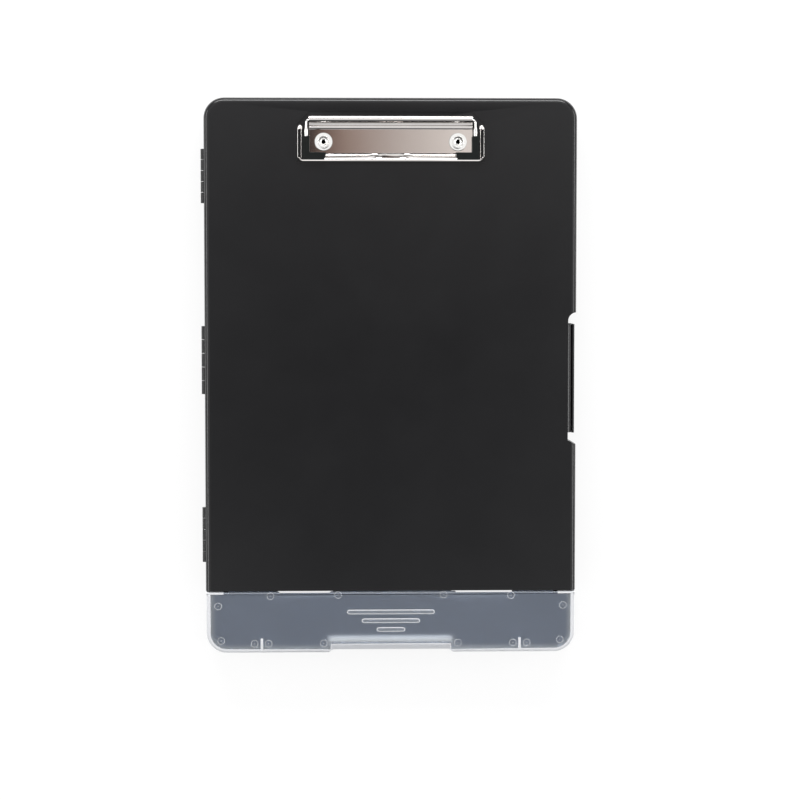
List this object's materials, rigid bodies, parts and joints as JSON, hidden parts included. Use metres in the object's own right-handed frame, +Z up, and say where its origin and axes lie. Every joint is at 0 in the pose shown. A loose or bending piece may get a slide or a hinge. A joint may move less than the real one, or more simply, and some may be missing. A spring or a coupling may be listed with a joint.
{
  "type": "storage clipboard box",
  "caption": "Slim case whose hinged cover is a clipboard with a low riveted spring clip, a side latch, and a frosted flip-up lid over a pen compartment at the front.",
  "frame": {"origin": "centre of the flat face that the closed case rests on, midway along its length and between its side walls", "axes": "+X to the latch side, +Y to the clip end, +Z up out of the writing face"},
  "size_m": [0.2574, 0.381, 0.0341],
  "materials": {
    "case_plastic": "fine moulded grain",
    "board_plastic": "matte fine grain",
    "frosted_plastic": "frosted, see-through",
    "pin_steel": "drawn wire",
    "clip_chrome": "bright nickel plate",
    "wire_steel": "bright spring wire",
    "grip_plastic": "satin",
    "rivet_nickel": "bright nickel plate"
  },
  "bodies": {
    "base": {"base_tray": "case_plastic", "hinge_pin_top": "pin_steel", "hinge_pin_middle": "pin_steel", "hinge_pin_bottom": "pin_steel", "pen_lid_pin_left": "pin_steel", "pen_lid_pin_right": "pin_steel", "latch_pin": "pin_steel"},
    "cover": {"cover_board": "board_plastic", "clip_plate": "clip_chrome", "clip_rivet_left": "rivet_nickel", "clip_rivet_right": "rivet_nickel", "rivet_washer_left": "rivet_nickel", "rivet_washer_right": "rivet_nickel"},
    "jaw": {"clip_jaw": "clip_chrome", "clip_wire": "wire_steel", "clip_grip_left": "grip_plastic", "clip_grip_right": "grip_plastic"},
    "lid": {"pen_lid": "frosted_plastic"},
    "latch": {"side_latch": "case_plastic"}
  },
  "joints": [
    {"name": "cover_hinge", "type": "hinge", "parent": "base", "child": "cover", "pos_m": [-0.1279, 0, 0.02215], "axis": [0, -1, 0], "range_deg": [0, 180]},
    {"name": "jaw_hinge", "type": "hinge", "parent": "cover", "child": "jaw", "pos_m": [0, 0.175, 0.03205], "axis": [-1, 0, 0], "range_deg": [0, 75], "stiffness_Nm_per_rad": 0.2},
    {"name": "lid_hinge", "type": "hinge", "parent": "base", "child": "lid", "pos_m": [0, -0.1496, 0.028], "axis": [-1, 0, 0], "range_deg": [0, 90]},
    {"name": "latch_swing", "type": "hinge", "parent": "base", "child": "latch", "pos_m": [0.1237, 0, 0.004], "axis": [0, 1, 0], "range_deg": [0, 90]}
  ]
}
